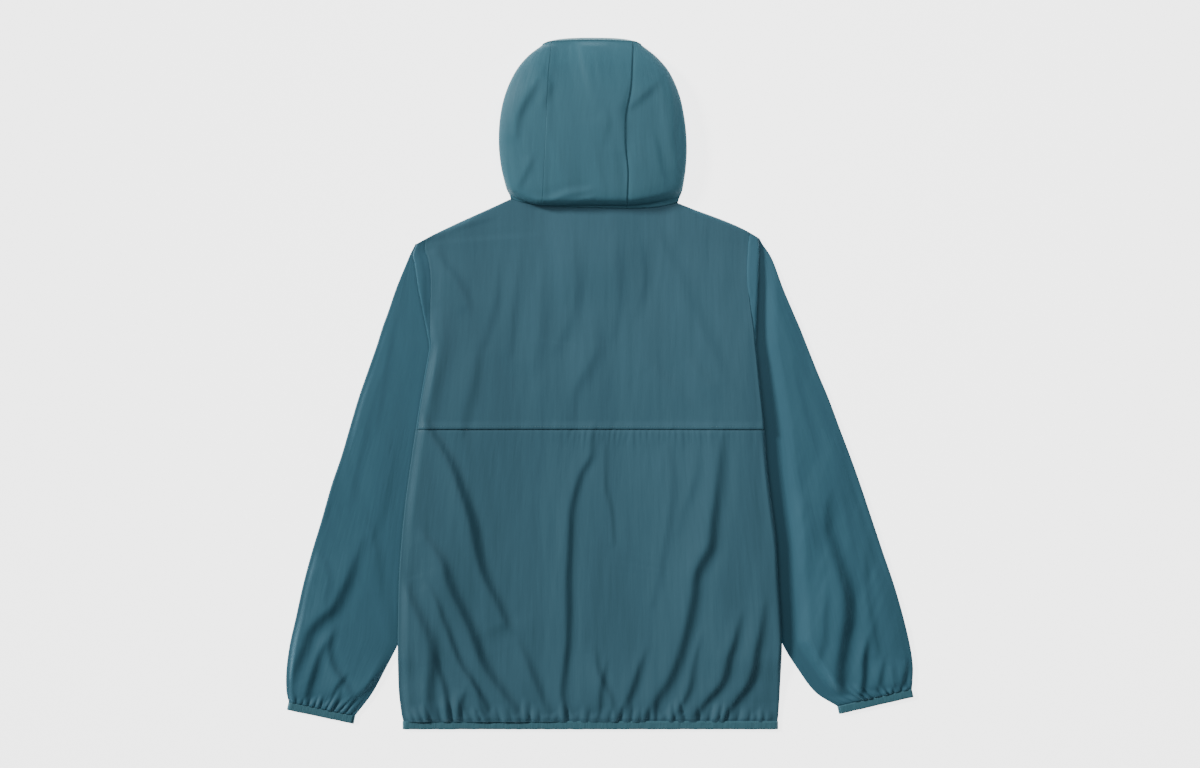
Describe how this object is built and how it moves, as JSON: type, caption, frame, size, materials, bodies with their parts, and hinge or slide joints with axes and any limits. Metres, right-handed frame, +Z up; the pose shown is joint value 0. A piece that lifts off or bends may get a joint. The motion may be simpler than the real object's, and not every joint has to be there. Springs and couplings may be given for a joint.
{
  "type": "sun protection jacket",
  "caption": "Hooded sun protection jacket with back yoke, panelled hood, bound hem and cuffs and a full front zip, laid flat on its front.",
  "frame": {"origin": "on the surface it lies on, below the middle of the jacket's bounding box", "axes": "+Y from hem to hood, +X to the wearer's right side, +Z up out of the back, which faces up"},
  "size_m": [0.8474, 0.9332, 0.0376],
  "materials": {
    "body_cloth": "thin plain-weave cloth, soft sheen",
    "hood_cloth": "thin plain-weave cloth, soft sheen",
    "sleeve_cloth": "thin plain-weave cloth, soft sheen",
    "stretch_binding": "matt stretch binding",
    "zip_tape": "matt woven tape",
    "zip_plastic": "satin moulded plastic"
  },
  "bodies": {
    "garment": {"back_yoke": "body_cloth", "back_lower": "body_cloth", "front_left": "body_cloth", "front_right": "body_cloth", "sleeve_left": "sleeve_cloth", "sleeve_right": "sleeve_cloth", "hood_centre": "hood_cloth", "hood_side_left": "hood_cloth", "hood_side_right": "hood_cloth", "hood_edge_binding": "stretch_binding", "cuff_binding_left": "stretch_binding", "cuff_binding_right": "stretch_binding", "hem_binding": "stretch_binding", "zip_tape_left": "zip_tape", "zip_tape_right": "zip_tape", "zip_chain": "zip_plastic", "zip_slider": "zip_plastic"},
    "pull_tab": {"zip_pull": "zip_plastic"}
  },
  "joints": [
    {"name": "pull_tab_hinge", "type": "hinge", "parent": "garment", "child": "pull_tab", "pos_m": [-0.0115, 0.206, 0.00165], "axis": [1, 0, 0], "range_deg": [0, 170]}
  ]
}
